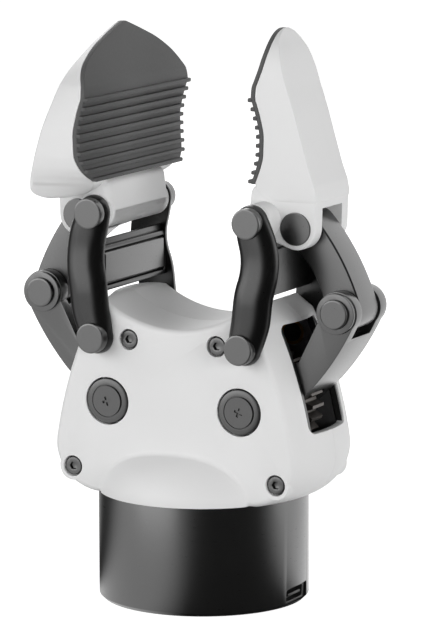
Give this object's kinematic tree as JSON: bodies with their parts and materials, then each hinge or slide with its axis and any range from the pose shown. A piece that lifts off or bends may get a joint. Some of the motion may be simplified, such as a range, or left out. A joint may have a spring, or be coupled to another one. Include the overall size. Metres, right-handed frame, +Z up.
{
  "type": "adaptive robot gripper",
  "caption": "Adaptive gripper: worm-driven linkages open and close curved fingers with ribbed rubber pads on a round base with a bolt flange.",
  "frame": {"origin": "centre of the base's underside, in the face that sits on the robot's tool plate", "axes": "+Z up towards the fingertips, the fingers open along X, the front with the caps faces -Y"},
  "size_m": [0.1176, 0.0704, 0.1832],
  "materials": {
    "white_shell": "satin white moulded plastic",
    "dark_base": "black anodised, satin",
    "dark_alloy": "black anodised, satin",
    "driver_alloy": "bead blasted, dark grey anodised",
    "panel_alloy": "dark grey anodised",
    "frame_alloy": "machined",
    "rim_plastic": "dark grey",
    "cap_plastic": "dark grey satin",
    "black_plastic": "black",
    "pin_steel": "black oxide",
    "screw_steel": "black oxide",
    "bearing_steel": "ground",
    "worm_steel": "hardened and ground",
    "motor_steel": "plated",
    "reducer_steel": "turned",
    "bronze": "sintered bronze",
    "circuit_board": "solder mask green",
    "pad_rubber": "dark grey, matte"
  },
  "bodies": {
    "housing": {"base_housing": "dark_base", "connector_socket": "black_plastic", "mount_flange": "dark_base", "encoder": "black_plastic", "motor": "motor_steel", "planetary_reducer": "reducer_steel", "reducer_screws": "screw_steel", "control_board": "circuit_board", "front_shell": "white_shell", "rear_shell": "white_shell", "shell_screws": "screw_steel", "pivot_caps": "cap_plastic", "inner_frame": "frame_alloy", "slot_rims": "rim_plastic", "axle_bushes": "bronze", "pin_bushes": "bronze", "worm_bearings": "bearing_steel"},
    "worm_shaft": {"worm": "worm_steel"},
    "driver_right": {"driver_link_right": "driver_alloy", "worm_wheel_right": "bronze", "driver_axle_right": "bearing_steel", "elbow_pin_right": "pin_steel"},
    "outer_right": {"outer_link_right": "dark_alloy", "elbow_bush_right": "bronze"},
    "inner_right": {"inner_link_right": "dark_alloy", "link_panel_right": "panel_alloy", "lower_pins_right": "pin_steel", "upper_pin_right": "pin_steel"},
    "finger_right": {"finger_shell_right": "white_shell", "finger_pad_right": "pad_rubber", "drive_pin_right": "pin_steel", "finger_bush_right": "bronze"},
    "driver_left": {"driver_link_left": "driver_alloy", "worm_wheel_left": "bronze", "driver_axle_left": "bearing_steel", "elbow_pin_left": "pin_steel"},
    "outer_left": {"outer_link_left": "dark_alloy", "elbow_bush_left": "bronze"},
    "inner_left": {"inner_link_left": "dark_alloy", "link_panel_left": "panel_alloy", "lower_pins_left": "pin_steel", "upper_pin_left": "pin_steel"},
    "finger_left": {"finger_shell_left": "white_shell", "finger_pad_left": "pad_rubber", "drive_pin_left": "pin_steel", "finger_bush_left": "bronze"}
  },
  "joints": [
    {"name": "finger_opening", "type": "hinge", "parent": "housing", "child": "inner_right", "pos_m": [0.026, 0, 0.0853], "axis": [0, 1, 0], "range_deg": [-31, 45]},
    {"name": "inner_link_turn_left", "type": "hinge", "parent": "housing", "child": "inner_left", "pos_m": [-0.026, 0, 0.0853], "axis": [0, -1, 0], "range_deg": [-31, 45]},
    {"name": "driver_turn_right", "type": "hinge", "parent": "housing", "child": "driver_right", "pos_m": [0.0233, 0, 0.0645], "axis": [0, 1, 0], "range_deg": [-16.27, 23.62]},
    {"name": "elbow_turn_right", "type": "hinge", "parent": "driver_right", "child": "outer_right", "pos_m": [0.052, 0, 0.0962], "axis": [0, 1, 0], "range_deg": [-10.48, 15.21]},
    {"name": "finger_level_right", "type": "hinge", "parent": "inner_right", "child": "finger_right", "pos_m": [0.0277, 0, 0.1245], "axis": [0, 1, 0], "range_deg": [-45, 31]},
    {"name": "driver_turn_left", "type": "hinge", "parent": "housing", "child": "driver_left", "pos_m": [-0.0233, 0, 0.0645], "axis": [0, -1, 0], "range_deg": [-16.27, 23.62]},
    {"name": "elbow_turn_left", "type": "hinge", "parent": "driver_left", "child": "outer_left", "pos_m": [-0.052, 0, 0.0962], "axis": [0, -1, 0], "range_deg": [-10.48, 15.21]},
    {"name": "finger_level_left", "type": "hinge", "parent": "inner_left", "child": "finger_left", "pos_m": [-0.0277, 0, 0.1245], "axis": [0, -1, 0], "range_deg": [-45, 31]},
    {"name": "worm_spin", "type": "hinge", "parent": "housing", "child": "worm_shaft", "pos_m": [0, 0, 0.0645], "axis": [0, 0, 1], "range_deg": [-614.25, 423.15]}
  ],
  "couplings": [
    {"joint": "inner_link_turn_left", "follows": "finger_opening", "ratio": 1},
    {"joint": "driver_turn_right", "follows": "finger_opening", "ratio": 0.525},
    {"joint": "elbow_turn_right", "follows": "finger_opening", "ratio": 0.338},
    {"joint": "finger_level_right", "follows": "finger_opening", "ratio": -1},
    {"joint": "driver_turn_left", "follows": "finger_opening", "ratio": 0.525},
    {"joint": "elbow_turn_left", "follows": "finger_opening", "ratio": 0.338},
    {"joint": "finger_level_left", "follows": "finger_opening", "ratio": -1},
    {"joint": "worm_spin", "follows": "finger_opening", "ratio": -13.65}
  ]
}
